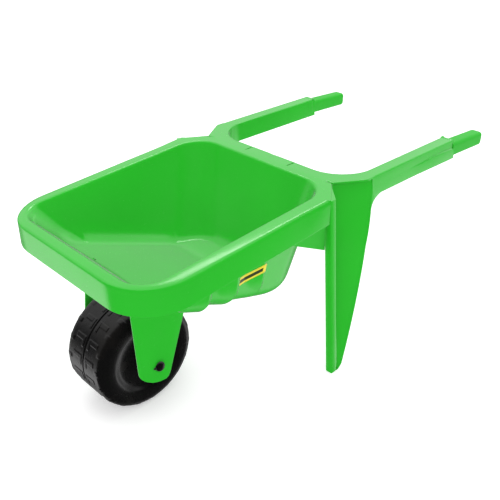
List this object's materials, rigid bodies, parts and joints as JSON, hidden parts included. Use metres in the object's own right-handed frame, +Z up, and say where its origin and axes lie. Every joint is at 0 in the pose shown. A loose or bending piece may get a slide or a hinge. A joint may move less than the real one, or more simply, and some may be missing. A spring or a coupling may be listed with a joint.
{
  "type": "toy wheelbarrow",
  "caption": "Child's green plastic wheelbarrow with a sloping tub, rolled rim, splayed scooped legs, closed grips and a wide black wheel that turns in a fork.",
  "frame": {"origin": "on the ground, below the centre of the bounding box", "axes": "+X from the wheel towards the grips (the person holding it faces -X), +Y to that person's right, +Z up"},
  "size_m": [0.7501, 0.384, 0.2988],
  "materials": {
    "green_plastic": "bright green injection-moulded polypropylene, soft gloss",
    "black_plastic": "black moulded plastic, low gloss",
    "axle_steel": "drawn steel rod",
    "pale_plastic": "natural nylon, matte",
    "label_film": "yellow film label with a plain dark bar"
  },
  "bodies": {
    "barrow": {"tub": "green_plastic", "rim": "green_plastic", "rear_bridge": "green_plastic", "left_arm": "green_plastic", "right_arm": "green_plastic", "left_grip": "green_plastic", "right_grip": "green_plastic", "left_leg": "green_plastic", "right_leg": "green_plastic", "left_gusset": "green_plastic", "right_gusset": "green_plastic", "left_fork_cheek": "green_plastic", "right_fork_cheek": "green_plastic", "axle": "axle_steel", "left_axle_cap": "black_plastic", "right_axle_cap": "black_plastic", "left_spacer": "pale_plastic", "right_spacer": "pale_plastic", "label": "label_film"},
    "wheel": {"wheel_left_half": "black_plastic", "wheel_right_half": "black_plastic", "wheel_sleeve": "pale_plastic", "wheel_pegs": "black_plastic"}
  },
  "joints": [
    {"name": "wheel_spin", "type": "hinge", "parent": "barrow", "child": "wheel", "pos_m": [-0.284, 0, 0.0825], "axis": [0, 1, 0], "continuous": true}
  ]
}
